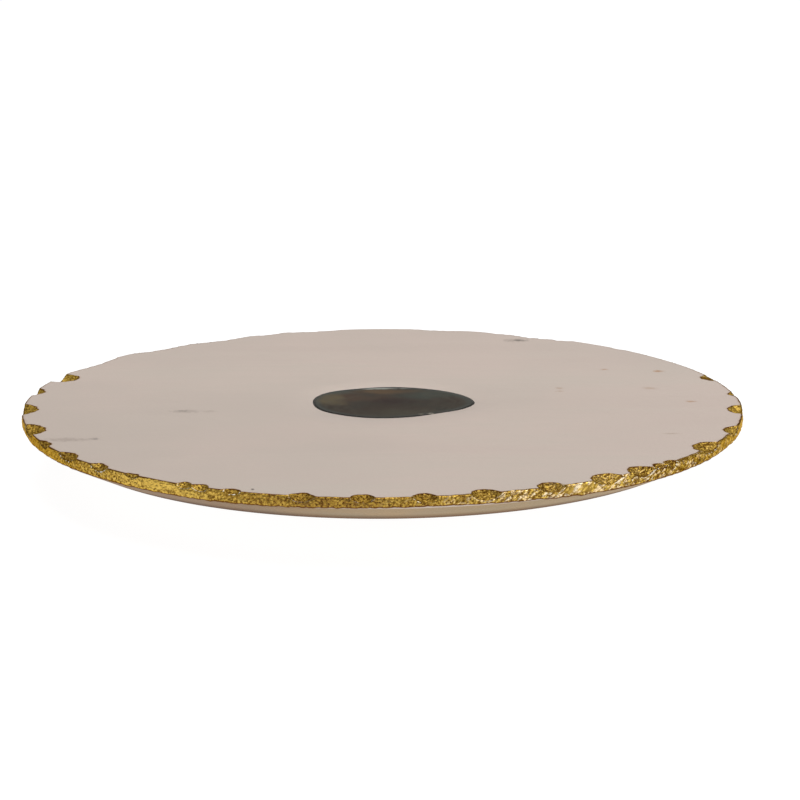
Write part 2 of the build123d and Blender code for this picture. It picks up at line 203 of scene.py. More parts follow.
def along_profile(share):
    """Radius, height, distance to the nearer border and share of scar, at shares 0 to 1 of the profile."""
    share = np.asarray(share)[:, None]
    result = np.empty((4, share.shape[0], COLUMNS))
    for i in range(COLUMNS):
        wanted = share[:, 0] * length[-1, i]
        result[0, :, i] = np.interp(wanted, length[:, i], profile_r[:, i])
        result[1, :, i] = np.interp(wanted, length[:, i], profile_z[:, i])
        result[2, :, i] = np.minimum(wanted, length[-1, i] - wanted)
        before_rim = length[SCAR_SAMPLES - 1, i] - wanted
        result[3, :, i] = smooth(-0.5 * MM, 0.7 * MM, before_rim) * SCARRED_OF_TURN[i]
    return result


def edge_relief(points, border, on_scar):
    """Height of the crumpled, chipped edge above its smooth profile."""
    coarse = 0.08 * ripple(points, 6 * MM, 11) + 0.06 * ripple(points, 2.8 * MM, 12)
    ridges = 0.26 * (1 - np.abs(ripple(points, 3.4 * MM, 13)))
    grain = 0.07 * ripple(points, 1.5 * MM, 14)
    relief = coarse * (0.5 + CRUMPLE_OF_TURN) + ridges * CRUMPLE_OF_TURN * (1 - 0.6 * on_scar) + grain
    return relief * MM * smooth(0, 0.9 * MM, border)


def edge_surface(share, inset):
    """Rows of points over the gilded edge, sunk by inset, a function of the distance to the border."""
    radius, height, border, on_scar = along_profile(share)
    tangent_r = np.gradient(radius, axis=0)
    tangent_z = np.gradient(height, axis=0)
    size = np.hypot(tangent_r, tangent_z) + 1e-12
    points = polar(radius, turn[None, :], height)
    lift = edge_relief(points, border, on_scar) - inset(border)
    radius = radius - tangent_z / size * lift
    height = height + tangent_r / size * lift
    radius = np.minimum(radius, RIM_RADIUS)
    height = np.minimum(height, TOP)
    return polar(radius, turn[None, :], height), border, on_scar


# ---------------------------------------------------------------- meshes

SHARP_ANGLE = math.radians(50)


def new_object(name, points, faces, body, attributes=None):
    """Mesh object from points and faces, smooth and riding a body."""
    mesh = bpy.data.meshes.new(name)
    mesh.from_pydata(points.tolist(), [], faces)
    for key, values in (attributes or {}).items():
        layer = mesh.attributes.new(key, "FLOAT", "POINT")
        layer.data.foreach_set("value", np.asarray(values, np.float32))
    mesh.validate()
    piece = bpy.data.objects.new(name, mesh)
    bpy.context.scene.collection.objects.link(piece)
    mesh.shade_smooth()
    mesh.set_sharp_from_angle(angle=SHARP_ANGLE)
    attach(piece, body)
    return piece


def ring_faces(rings, columns, closed):
    """Quads between each ring and the next; closed joins the last ring to the first."""
    faces = []
    for i in range(rings if closed else rings - 1):
        low, high = i * columns, (i + 1) % rings * columns
        for j in range(columns):
            k = (j + 1) % columns
            faces.append((low + j, high + j, high + k, low + k))
    return faces


def cap_faces(ring_start, centre, columns, flip):
    """Fan of triangles from a ring to a centre point."""
    faces = []
    for j in range(columns):
        k = (j + 1) % columns
        edge = (ring_start + j, ring_start + k) if flip else (ring_start + k, ring_start + j)
        faces.append((*edge, centre))
    return faces


TOP_TOLERANCE = 0.01 * MM
BEYOND_AGATE = 0.35 * MM


def outline_of(node, angle, outer):
    """Radius of a flat node's top outline at each azimuth; outer leaves out the loop round the agate."""
    corners = np.array([v.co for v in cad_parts[node].data.vertices])
    corners = corners[corners[:, 2] > corners[:, 2].max() - TOP_TOLERANCE]
    azimuth = np.arctan2(corners[:, 0], -corners[:, 1]) % (2 * np.pi)
    radius = np.hypot(corners[:, 0], corners[:, 1])
    order = np.argsort(azimuth)
    azimuth, radius = azimuth[order], radius[order]
    if outer:
        inner_line = outline_of("agate_inlay", azimuth, False)
        keep = radius > inner_line + BEYOND_AGATE
        azimuth, radius = azimuth[keep], radius[keep]
    return np.interp(angle, azimuth, radius, period=2 * np.pi)


def leaf_face(border):
    """How deep the leaf's outer face lies under the profile: it stands a hair proud of it."""
    return -0.03 * MM - 0.05 * MM * smooth(0, 0.4 * MM, border)


def leaf_back(border):
    """How deep the leaf's hidden face lies under the profile."""
    return 0.12 * MM + 0.3 * MM * smooth(0, 1.0 * MM, border)


def stone_under_leaf(border):
    """How deep the stone lies under the profile, between the two faces of the leaf."""
    return 0.02 * MM + 0.28 * MM * smooth(0, 1.0 * MM, border)


LEAF_FACE_ROWS = 34
LEAF_BACK_ROWS = 12
STONE_EDGE_ROWS = 14


def make_gold_leaf():
    """Closed skin of leaf over the scars and the band."""
    outer, border, on_scar = edge_surface(np.linspace(0, 1, LEAF_FACE_ROWS), leaf_face)
    inner, _, _ = edge_surface(np.linspace(0, 1, LEAF_BACK_ROWS), leaf_back)
    rings = np.concatenate([outer, inner[::-1]])
    count = len(rings)
    hidden = len(inner) * COLUMNS
    attributes = {
        "border": np.concatenate([(border / MM).ravel(), np.zeros(hidden)]),
        "on_scar": np.concatenate([on_scar.ravel(), np.zeros(hidden)]),
        "shine": np.tile(SHINE_OF_TURN, count),
        "crumple": np.tile(CRUMPLE_OF_TURN, count),
        "painted_lip_glint": np.tile(PAINTED_LIP_GLINT_OF_TURN, count),
    }
    faces = ring_faces(count, COLUMNS, True)
    return new_object("gold_leaf", rings.reshape(-1, 3), faces, "turntable", attributes)


def make_marble():
    """The stone slab: honed top round the inlay pocket, chipped edge under the leaf, bevel, underside."""
    pocket = outline_of("inlay_resin", turn, True)
    rows = []
    stain = []

    def add_row(radius, height, mark=0.0):
        rows.append(polar(radius, turn, height))
        stain.append(np.full(COLUMNS, mark))

    add_row(pocket, RESIN_BOTTOM)
    add_row(pocket, STONE_TOP - 0.25 * MM)
    add_row(pocket + 0.08 * MM, STONE_TOP - 0.06 * MM)
    add_row(pocket + 0.25 * MM, STONE_TOP)
    for share in (0.12, 0.3, 0.5, 0.7, 0.87):
        add_row(pocket + (LEAF_START - pocket) * share, STONE_TOP)
    for gap, mark in ((3.0, 0), (1.3, 0.1), (0.5, 0.35), (0.22, 0.8), (0.08, 1)):
        add_row(LEAF_START - gap * MM, STONE_TOP, mark)
    under, _, _ = edge_surface(np.linspace(0, 1, STONE_EDGE_ROWS), stone_under_leaf)
    rows.extend(under)
    stain.extend(np.ones((len(under), COLUMNS)))
    top_of_bevel = np.hypot(under[-1][:, 0], under[-1][:, 1])
    add_row(top_of_bevel - 0.1 * MM, FOOT_OF_TURN - 0.1 * MM, 1)
    add_row(top_of_bevel - 0.3 * MM, FOOT_OF_TURN - 0.35 * MM, 0.6)
    add_row(top_of_bevel - 0.75 * MM, FOOT_OF_TURN - 0.7 * MM, 0.0)
    slope = math.atan2(BAND_BOTTOM - UNDERSIDE, RIM_RADIUS - UNDERSIDE_RADIUS)
    run = BEVEL_ROUNDING * math.tan(slope / 2)
    lip_r = RIM_RADIUS - 1.3 * MM
    lip_z = BAND_BOTTOM - 0.8 * MM
    end_r = UNDERSIDE_RADIUS + run * math.cos(slope)
    end_z = UNDERSIDE + run * math.sin(slope)
    for share in (0.22, 0.45, 0.7, 1.0):
        add_row(lip_r + (end_r - lip_r) * share, lip_z + (end_z - lip_z) * share)
    for share in (0.33, 0.67, 1.0):
        angle = slope * (1 - share)
        add_row(UNDERSIDE_RADIUS - run + BEVEL_ROUNDING * math.sin(angle),
                UNDERSIDE + BEVEL_ROUNDING * (1 - math.cos(angle)))
    for radius in (150, 110, 75, 40):
        add_row(radius * MM, UNDERSIDE)
    centres = [(0, 0, UNDERSIDE), (0, 0, RESIN_BOTTOM)]
    points = np.concatenate([np.array(rows).reshape(-1, 3), centres])
    count = len(rows)
    faces = ring_faces(count, COLUMNS, False)
    faces += cap_faces((count - 1) * COLUMNS, count * COLUMNS, COLUMNS, False)
    faces += cap_faces(0, count * COLUMNS + 1, COLUMNS, True)
    attributes = {"stain": np.concatenate([np.array(stain).ravel(), [0, 0]])}
    return new_object("marble_slab", points, faces, "turntable", attributes)


INLAY_COLUMNS = 480
inlay_turn = np.linspace(0, 2 * np.pi, INLAY_COLUMNS, endpoint=False)


def make_agate():
    """The agate slice, its top edge softly broken; ring runs from 0 at its centre to 1 at its edge."""
    edge = outline_of("agate_inlay", inlay_turn, False)
    rows = []
    ring = []
    for share in np.linspace(0.02, 1, 40)[:-1]:
        rows.append(polar((edge - 0.5 * MM) * share, inlay_turn, AGATE_TOP))
        ring.append(np.full(INLAY_COLUMNS, share))
    for inset, drop in ((0.5, 0.03), (0.28, 0.06), (0.12, 0.14), (0.03, 0.3)):
        rows.append(polar(edge - inset * MM, inlay_turn, TOP - drop * MM))
        ring.append(np.ones(INLAY_COLUMNS))
    rows.append(polar(edge - 0.03 * MM, inlay_turn, AGATE_BOTTOM))
    ring.append(np.ones(INLAY_COLUMNS))
    centres = [(0, 0, AGATE_TOP), (0, 0, AGATE_BOTTOM)]
    points = np.concatenate([np.array(rows).reshape(-1, 3), centres])
    count = len(rows)
    faces = ring_faces(count, INLAY_COLUMNS, False)
    faces += cap_faces(0, count * INLAY_COLUMNS, INLAY_COLUMNS, True)
    faces += cap_faces((count - 1) * INLAY_COLUMNS, count * INLAY_COLUMNS + 1, INLAY_COLUMNS, False)
    attributes = {"ring": np.concatenate([np.array(ring).ravel(), [0, 1]])}
    return new_object("agate_slice", points, faces, "turntable", attributes)


def make_resin():
    """Dark resin line between the agate and the stone, its face drawn slightly hollow."""
    inner = outline_of("agate_inlay", inlay_turn, False)
    outer = outline_of("inlay_resin", inlay_turn, True)
    rows = []
    for share, sink in ((0, 0.02), (0.2, 0.06), (0.5, 0.1), (0.8, 0.06), (1, 0.0)):
        rows.append(polar(inner + (outer - inner) * share, inlay_turn, RESIN_TOP - sink * MM))
    rows.append(polar(outer, inlay_turn, AGATE_BOTTOM))
    rows.append(polar(inner, inlay_turn, AGATE_BOTTOM))
    faces = ring_faces(len(rows), INLAY_COLUMNS, True)
    return new_object("resin_line", np.array(rows).reshape(-1, 3), faces, "turntable")


gold_leaf = make_gold_leaf()
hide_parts("gold_leaf_edge")
marble = make_marble()
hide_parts("marble_disc")
agate = make_agate()
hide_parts("agate_inlay")
resin = make_resin()
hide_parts("inlay_resin")


# ---------------------------------------------------------------- materials

def new_material(name, colour, roughness, metallic=0.0, **shader_values):
    """Principled material; returns it with its node tree, its shader and its object coordinates."""
    material = bpy.data.materials.new(name)
    material.use_nodes = True
    tree = material.node_tree
    shader = tree.nodes["Principled BSDF"]
    shader.inputs["Base Color"].default_value = (*colour, 1)
    shader.inputs["Roughness"].default_value = roughness
    shader.inputs["Metallic"].default_value = metallic
    for key, value in shader_values.items():
        shader.inputs[key.replace("_", " ")].default_value = value
    coordinates = tree.nodes.new("ShaderNodeTexCoord").outputs["Object"]
    return material, tree, shader, coordinates


def node(tree, kind, inputs=None, **settings):
    """New shader node with its settings made and its inputs given values or linked."""
    made = tree.nodes.new(kind)
    for key, value in settings.items():
        setattr(made, key, value)
    for key, value in (inputs or {}).items():
        if isinstance(value, bpy.types.NodeSocket):
            tree.links.new(value, made.inputs[key])
        else:
            made.inputs[key].default_value = value
    return made


def noise(tree, coordinates, scale, detail=3.0, roughness=0.55, distortion=0.0):
    """Factor of a noise texture at a scale in cycles for each metre."""
    inputs = {
        "Vector": coordinates,
        "Scale": scale,
        "Detail": detail,
        "Roughness": roughness,
        "Distortion": distortion,
    }
    return node(tree, "ShaderNodeTexNoise", inputs).outputs["Fac"]


def attribute(tree, name):
    """Value of one of the mesh's own attributes."""
    return node(tree, "ShaderNodeAttribute", attribute_name=name).outputs["Fac"]


def vector_math(tree, operation, inputs, output=0):
    """Result of a vector math node."""
    return node(tree, "ShaderNodeVectorMath", inputs, operation=operation).outputs[output]


def sine(tree, value, frequency):
    """Sine of a value times a frequency."""
    angle = math_node(tree, "MULTIPLY", value, frequency)
    return node(tree, "ShaderNodeMath", {0: angle}, operation="SINE").outputs[0]


def split(tree, coordinates):
    """The X, Y and Z outputs of a vector."""
    return node(tree, "ShaderNodeSeparateXYZ", {"Vector": coordinates}).outputs


def from_axis(tree, coordinates):
    """Distance from the turntable's spin axis."""
    parts = split(tree, coordinates)
    flat = node(tree, "ShaderNodeCombineXYZ", {"X": parts["X"], "Y": parts["Y"]}).outputs["Vector"]
    return vector_math(tree, "LENGTH", {0: flat}, "Value")


def stretched(tree, coordinates, scale, turned=(0, 0, 0)):
    """Coordinates along axes turned by Euler angles, then scaled by the factor for each axis."""
    lengths = tuple(1 / factor for factor in scale)
    inputs = {"Vector": coordinates, "Scale": lengths, "Rotation": turned}
    return node(tree, "ShaderNodeMapping", inputs, vector_type="TEXTURE").outputs["Vector"]


def step(tree, value, low, high, to_low=0.0, to_high=1.0):
    """Smoothly maps a value from one range to another."""
    inputs = {"Value": value, "From Min": low, "From Max": high, "To Min": to_low, "To Max": to_high}
    return node(tree, "ShaderNodeMapRange", inputs, interpolation_type="SMOOTHSTEP").outputs["Result"]


def math_node(tree, operation, first_value, second_value):
    """Result of a two-input math node."""
    return node(tree, "ShaderNodeMath", {0: first_value, 1: second_value}, operation=operation).outputs[0]


def mix(tree, factor, first_colour, second_colour, blend="MIX"):
    """Mix of two colours, each a colour or a socket."""
    mixer = node(tree, "ShaderNodeMix", {"Factor": factor}, data_type="RGBA", blend_type=blend)
    for socket, value in ((mixer.inputs[6], first_colour), (mixer.inputs[7], second_colour)):
        if isinstance(value, bpy.types.NodeSocket):
            tree.links.new(value, socket)
        else:
            socket.default_value = (*value, 1)
    return mixer.outputs[2]


def bump(tree, shader, height, distance, strength=1.0, normal=None):
    """Bumps a shader's normal by a height field, over an earlier bump if one is given."""
    inputs = {"Height": height, "Distance": distance, "Strength": strength}
    if normal is not None:
        inputs["Normal"] = normal
    result = node(tree, "ShaderNodeBump", inputs).outputs["Normal"]
    tree.links.new(result, shader.inputs["Normal"])
    return result


def use(material, *pieces):
    """Puts one material on each piece."""
    for piece in pieces:
        piece.data.materials.clear()
        piece.data.materials.append(material)


# Gold leaf's colours, from the painted glints on its brightest folds to the bare stained stone at its
# borders. The sparkle is a painted glint, and the crease brown serves both as painted shade in creases and
# hollows and as the dark of leaf rubbed away
PAINTED_SPARKLE = (1.0, 0.95, 0.80)
PALE_GLINT = (1.0, 0.76, 0.42)
WHITE_GLINT = (1.0, 0.87, 0.63)
FOIL = (0.71, 0.48, 0.100)
OCHRE = (0.375, 0.222, 0.036)
TARNISH = (0.31, 0.175, 0.045)
SCAR_BRIGHT = (0.55, 0.375, 0.075)
SCAR_LIGHT = (0.42, 0.270, 0.050)
SCAR_DARK = (0.14, 0.077, 0.010)
SHADE_AND_WORN_BROWN = (0.12, 0.047, 0.006)
BARE_EDGE = (0.13, 0.050, 0.007)
GOLD_EDGE_ON = (0.88, 0.66, 0.35, 1.0)
FOLD_DIRECTION = (0, math.radians(-28), math.radians(35))

# Marks in the stone: x, y, half length along x, half width along y (millimetres), colour, strength
STONE_MARKS = [
    (80, 156, 3.0, 2.4, (0.06, 0.05, 0.045), 0.85),
    (79, 156, 7.5, 5.0, (0.22, 0.18, 0.15), 0.5),
    (124, 78, 2.4, 1.8, (0.36, 0.17, 0.06), 0.6),
    (154, 73, 3.0, 2.6, (0.36, 0.17, 0.06), 0.7),
    (96, 32, 3.0, 2.4, (0.33, 0.19, 0.10), 0.45),
    (96, 25, 3.0, 1.6, (0.33, 0.19, 0.10), 0.4),
    (145, 31, 3.6, 2.8, (0.38, 0.25, 0.16), 0.45),
    (164, 0, 3.0, 2.0, (0.38, 0.19, 0.08), 0.7),
    (146, -70, 4.6, 1.3, (0.34, 0.25, 0.18), 0.5),
    (-105, -17, 2.6, 2.0, (0.20, 0.17, 0.15), 0.55),
    (-104, -18, 8.0, 3.6, (0.32, 0.27, 0.23), 0.45),
    (-91, -18, 3.5, 2.5, (0.36, 0.30, 0.25), 0.4),
    (-145, -76, 2.5, 2.0, (0.18, 0.15, 0.14), 0.6),
    (-159, -78, 12.0, 4.0, (0.30, 0.24, 0.20), 0.45),
    (-61, -174, 0.8, 1.6, (0.08, 0.06, 0.05), 0.8),
]
SPOT_DEPTH = 4 * MM


def add_spot(tree, where, colour, spot, height, raggedness):
    """Colour with one soft-edged, ragged elliptical spot mixed into it."""
    x, y, half_length, half_width, tint, strength = spot
    offset = vector_math(tree, "SUBTRACT", {0: where, 1: (x * MM, y * MM, height)})
    scaled = stretched(tree, offset, (1 / (half_length * MM), 1 / (half_width * MM), 1 / SPOT_DEPTH))
    distance = vector_math(tree, "LENGTH", {0: scaled}, "Value")
    wobble = step(tree, noise(tree, where, raggedness), 0.2, 0.8, -0.5, 0.5)
    ragged = math_node(tree, "ADD", distance, wobble)
    return mix(tree, step(tree, ragged, 1.3, 0.2, 0, strength), colour, tint)


def marble_material():
    """Honed pinkish-beige marble with faint streaks, a few mineral marks and a duller bevel whose browner
    colour is partly its own and partly painted shade, darker towards its foot and its left side; a faint
    painted shade towards the front.
    """
    material, tree, shader, where = new_material("marble_stone", (0.5, 0.44, 0.39), 0.38)
    streaks = noise(tree, stretched(tree, where, (3.5, 22, 22)), 1.0, 5, 0.6, 1.2)
    clouds = noise(tree, where, 9.0, 4)
    grain = noise(tree, where, 900.0, 2)
    colour = mix(tree, step(tree, clouds, 0.3, 0.7), (0.535, 0.456, 0.398), (0.568, 0.470, 0.412))
    colour = mix(tree, step(tree, streaks, 0.48, 0.75, 0, 0.45), colour, (0.508, 0.447, 0.384))
    colour = mix(tree, step(tree, grain, 0.35, 0.75, 0, 0.08), colour, (0.43, 0.36, 0.31))
    for mark in STONE_MARKS:
        colour = add_spot(tree, where, colour, mark, STONE_TOP, 450.0)
    place = split(tree, where)
    # Below the band: the bevel, its browner tint partly the stone's own stains and partly painted shade
    sawn = step(tree, place["Z"], BAND_BOTTOM + 0.5 * MM, BAND_BOTTOM - 0.6 * MM)
    outer = step(tree, from_axis(tree, where), UNDERSIDE_RADIUS - 4 * MM, UNDERSIDE_RADIUS - 0.5 * MM)
    stains = step(tree, noise(tree, stretched(tree, where, (40, 40, 90)), 1.0, 4, 0.6), 0.35, 0.7)
    bevel_stains_and_shade = mix(tree, stains, (0.70, 0.585, 0.37), (0.64, 0.575, 0.405))
    # Painted shade: the bevel darker towards the left
    to_left = step(tree, place["X"], 0, -80 * MM)
    bevel_stains_and_shade = mix(tree, to_left, bevel_stains_and_shade, (0.74, 0.67, 0.69), "MULTIPLY")
    # Painted shade: the bevel darkening towards its foot
    low = step(tree, place["Z"], UNDERSIDE + 6.0 * MM, UNDERSIDE + 0.5 * MM)
    bevel_stains_and_shade = mix(tree, low, bevel_stains_and_shade, (0.40, 0.28, 0.19), "MULTIPLY")
    bevel_stains_and_shade = mix(tree, outer, (0.88, 0.86, 0.82), bevel_stains_and_shade)
    colour = mix(tree, sawn, colour, bevel_stains_and_shade, "MULTIPLY")
    # Painted shade: the stone a little darker towards the front
    to_front = step(tree, place["Y"], 60 * MM, -90 * MM)
    colour = mix(tree, to_front, colour, (0.972, 0.972, 0.972), "MULTIPLY")
    stain = attribute(tree, "stain")
    colour = mix(tree, step(tree, stain, 0.0, 0.5, 0, 0.4), colour, (0.36, 0.24, 0.15))
    colour = mix(tree, step(tree, stain, 0.45, 0.85), colour, (0.15, 0.05, 0.002))
    tree.links.new(colour, shader.inputs["Base Color"])
    honed = step(tree, streaks, 0.3, 0.8, 0.34, 0.44)
    sawn_roughness = math_node(tree, "MULTIPLY", sawn, 0.95)
    tree.links.new(math_node(tree, "MAXIMUM", honed, sawn_roughness), shader.inputs["Roughness"])
    bump(tree, shader, grain, 0.03 * MM, 0.35)
    return material


def gold_material():
    """Gold leaf over chipped stone: foil on the band, dull speckles in the scars, worn at its borders;
    painted glints on its folds and scar lips, painted shade in its creases and hollows, and a brightness
    round the rim that is partly painted light.
    """
    material, tree, shader, where = new_material(
        "worn_gold_leaf", OCHRE, 0.38, 1.0, Specular_Tint=GOLD_EDGE_ON
    )
    border = attribute(tree, "border")
    on_scar = attribute(tree, "on_scar")
    shine = attribute(tree, "shine")
    crumple = attribute(tree, "crumple")
    painted_lip_glint = attribute(tree, "painted_lip_glint")
    patches = noise(tree, where, 170.0, 4, 0.6)
    speckle = noise(tree, where, 900.0, 3, 0.65)

    # Folds: warped cells stretched along one direction. Each cell is a facet of the leaf, and the
    # creases run along the borders of a second, larger set of cells.
    wander = node(tree, "ShaderNodeTexNoise", {"Vector": where, "Scale": 380.0, "Detail": 2.0})
    shift = vector_math(tree, "SCALE", {0: wander.outputs["Color"], "Scale": 2.4 * MM})
    warped = vector_math(tree, "ADD", {0: where, 1: shift})
    folded = stretched(tree, warped, (340, 950, 950), FOLD_DIRECTION)
    cells = node(tree, "ShaderNodeTexVoronoi", {"Vector": folded, "Scale": 1.0}).outputs["Color"]
    facets = node(tree, "ShaderNodeSeparateColor", {"Color": cells}).outputs
    facet = facets["Red"]
    gaps = node(tree, "ShaderNodeTexVoronoi", {"Vector": folded, "Scale": 0.55}, feature="DISTANCE_TO_EDGE")
    seams = gaps.outputs["Distance"]

    # Foil and scar colours; their brightness follows shine, so it is partly painted light
    flecked = step(tree, crumple, 0.1, 0.2, 0.5, 1.0)
    flecks = math_node(tree, "MULTIPLY", step(tree, speckle, 0.38, 0.62, -0.45, 0.45), flecked)
    brightness = math_node(tree, "ADD", math_node(tree, "MULTIPLY", patches, 0.9), shine)
    brightness = math_node(tree, "ADD", brightness, flecks)
    gold = mix(tree, step(tree, brightness, 0.5, 1.35), OCHRE, FOIL)
    gold = mix(tree, step(tree, brightness, 0.42, 0.1), gold, TARNISH)
    scar_tone = mix(tree, step(tree, shine, 0.1, 0.8), SCAR_LIGHT, SCAR_BRIGHT)
    dull = mix(tree, step(tree, speckle, 0.42, 0.57), SCAR_DARK, scar_tone)
    gold = mix(tree, math_node(tree, "MULTIPLY", on_scar, 0.92), gold, dull)

    # Painted glints: pale facets where the leaf is crumpled
    lifted = math_node(tree, "ADD", facet, step(tree, shine, 0.6, 1.1, 0, 0.22))
    pale = math_node(tree, "MULTIPLY", step(tree, lifted, 0.66, 0.78), step(tree, crumple, 0.15, 0.85))
    pale = math_node(tree, "MULTIPLY", pale, step(tree, on_scar, 0.2, 1.0, 0.85, 0.12))
    glint_tint = mix(tree, step(tree, facets["Green"], 0.4, 0.8), PALE_GLINT, WHITE_GLINT)
    gold = mix(tree, pale, gold, glint_tint)

    # Painted shade in the creases and on the shaded facets, and dark pits
    creased = step(tree, crumple, 0.1, 0.8, 0.12, 0.85)
    crease = math_node(tree, "MULTIPLY", step(tree, seams, 0.11, 0.02), creased)
    crease = math_node(tree, "MULTIPLY", crease, step(tree, shine, 0.7, 1.1, 1.0, 0.6))
    shaded = step(tree, crumple, 0.1, 0.8, 0.15, 0.85)
    shade = math_node(tree, "MULTIPLY", step(tree, facet, 0.34, 0.1), shaded)
    shade = math_node(tree, "MULTIPLY", shade, step(tree, shine, 0.7, 1.1, 1.0, 0.7))
    pitted = step(tree, shine, 0.5, 0.9, 0.9, 0.3)
    pits = math_node(tree, "MULTIPLY", step(tree, speckle, 0.47, 0.38), pitted)
    pits = math_node(tree, "MULTIPLY", pits, flecked)
    dark = math_node(tree, "MAXIMUM", math_node(tree, "MAXIMUM", crease, shade), pits)
    gold = mix(tree, dark, gold, SHADE_AND_WORN_BROWN)

    # Leaf rubbed away low on the band, painted shade in the deepest part of each scar, a painted glint on
    # its lip
    low = step(tree, split(tree, where)["Z"], BAND_BOTTOM + 2.4 * MM, BAND_BOTTOM + 0.3 * MM)
    rubs = step(tree, noise(tree, where, 420.0, 3, 0.7), 0.5, 0.6, 0, 0.8)
    rubbed = math_node(tree, "MULTIPLY", low, rubs)
    gold = mix(tree, rubbed, gold, SHADE_AND_WORN_BROWN)
    hollow = math_node(tree, "MULTIPLY", step(tree, on_scar, 0.5, 0.75), step(tree, on_scar, 1.0, 0.9))
    gold = mix(tree, math_node(tree, "MULTIPLY", hollow, 0.7), gold, SHADE_AND_WORN_BROWN)
    lip = math_node(tree, "MULTIPLY", step(tree, on_scar, 0.08, 0.25), step(tree, on_scar, 0.85, 0.6))
    chosen = math_node(tree, "MULTIPLY", step(tree, facet, 0.62, 0.68), painted_lip_glint)
    painted_sparkle = math_node(tree, "MULTIPLY", lip, chosen)
    gold = mix(tree, painted_sparkle, gold, PAINTED_SPARKLE)

    # Bare stained stone at both borders
    worn = math_node(tree, "ADD", border, step(tree, patches, 0.25, 0.75, -0.2, 0.35))
    worn = math_node(tree, "ADD", worn, step(tree, speckle, 0.3, 0.7, -0.2, 0.2))
    bare = step(tree, worn, 0.62, 0.3)
    tree.links.new(mix(tree, bare, gold, BARE_EDGE), shader.inputs["Base Color"])
    tree.links.new(step(tree, painted_sparkle, 0.2, 0.8, 1.0, 0.1), shader.inputs["Metallic"])
    scar_roughness = math_node(tree, "MULTIPLY", on_scar, 0.28)
    rough = math_node(tree, "ADD", step(tree, brightness, 0.5, 1.35, 0.42, 0.3), scar_roughness)
    rough = math_node(tree, "ADD", rough, math_node(tree, "MULTIPLY", dark, 0.15))
    tree.links.new(rough, shader.inputs["Roughness"])
    folds = bump(tree, shader, facet, 0.16 * MM, 0.6)
    bump(tree, shader, speckle, 0.16 * MM, 0.8, folds)
    return material


# Patches of colour in the agate: x, y, half length along x, half width along y (mm), colour, strength
AGATE_CLOUDS = [
    (-16, 12, 22, 14, (0.064, 0.036, 0.020), 0.75),
    (-29, 6, 9, 16, (0.108, 0.084, 0.043), 0.8),
    (-24, 24, 10, 5, (0.055, 0.066, 0.054), 0.6),
    (1, 25, 17, 6, (0.105, 0.060, 0.026), 0.8),
    (10, -22, 22, 9, (0.054, 0.047, 0.030), 0.6),
    (28, 16, 20, 10, (0.042, 0.053, 0.041), 0.7),
    (35, -7, 13, 8, (0.036, 0.026, 0.016), 0.6),
    (6, 2, 15, 9, (0.024, 0.011, 0.008), 0.85),
]
# In the same terms: a painted highlight, the pale line along its far edge, and painted highlights on two
# nicks in its near edge
AGATE_PAINTED_GLEAM = (-4, 32.4, 15, 2.3, (0.27, 0.28, 0.25), 0.95)
AGATE_NICK_HIGHLIGHTS = [
    (25, -25.0, 2.0, 1.0, (0.42, 0.37, 0.30), 0.7),
    (20, -26.5, 1.6, 1.0, (0.30, 0.26, 0.20), 0.6),
]
AGATE_EDGE_ON = (1.0, 0.88, 0.80, 1.0)


def agate_material():
    """Polished agate: dark slate with brown and olive clouds, faint bands that follow its outline, and
    painted highlights along its far edge and on two nicks in its near edge.
    """
    material, tree, shader, where = new_material(
        "polished_agate", (0.05, 0.05, 0.045), 0.16, Specular_IOR_Level=0.14, Specular_Tint=AGATE_EDGE_ON
    )
    ring = attribute(tree, "ring")
    warp = step(tree, noise(tree, where, 22.0, 5, 0.6), 0.25, 0.75, -0.25, 0.25)
    depth = math_node(tree, "ADD", ring, warp)
    bands = sine(tree, depth, 46.0)
    grain = noise(tree, where, 500.0, 3)
    ground = step(tree, noise(tree, where, 26.0, 4, 0.6), 0.4, 0.65)
    colour = mix(tree, ground, (0.035, 0.023, 0.014), (0.029, 0.025, 0.017))
    for cloud in AGATE_CLOUDS:
        colour = add_spot(tree, where, colour, cloud, TOP, 60.0)
    outward = step(tree, depth, 0.15, 0.8, 0.05, 0.32)
    shown = math_node(tree, "MULTIPLY", step(tree, bands, -0.6, 1.0), outward)
    colour = mix(tree, shown, colour, (0.070, 0.061, 0.044))
    colour = mix(tree, step(tree, grain, 0.5, 0.8, 0, 0.3), colour, (0.085, 0.076, 0.057))
    to_side = math_node(tree, "ABSOLUTE", split(tree, where)["X"], 0)
    rim = math_node(tree, "SUBTRACT", ring, step(tree, to_side, 18 * MM, 38 * MM, 0, 0.028))
    colour = mix(tree, step(tree, rim, 0.86, 0.95, 0, 0.5), colour, (0.060, 0.072, 0.064))
    # A painted highlight along the far edge
    colour = add_spot(tree, where, colour, AGATE_PAINTED_GLEAM, TOP, 150.0)
    colour = mix(tree, step(tree, rim, 0.955, 0.98, 0, 0.9), colour, (0.008, 0.007, 0.006))
    # Painted highlights on two nicks in the near edge
    for nick_highlight in AGATE_NICK_HIGHLIGHTS:
        colour = add_spot(tree, where, colour, nick_highlight, TOP, 900.0)
    tree.links.new(colour, shader.inputs["Base Color"])
    bump(tree, shader, bands, 0.01 * MM, 0.15)
    return material


def resin_material():
    """Dark polished resin with tiny bubbles."""
    material, tree, shader, where = new_material("dark_resin", (0.02, 0.018, 0.013), 0.2)
    bubbles = noise(tree, where, 1500.0, 2)
    colour = mix(tree, step(tree, bubbles, 0.55, 0.75), (0.018, 0.017, 0.013), (0.06, 0.05, 0.035))
    tree.links.new(colour, shader.inputs["Base Color"])
    bump(tree, shader, bubbles, 0.05 * MM, 0.4)
    return material


def darker(colour, share):
    """A colour brought down to a share of itself."""
    return tuple(share * channel for channel in colour)


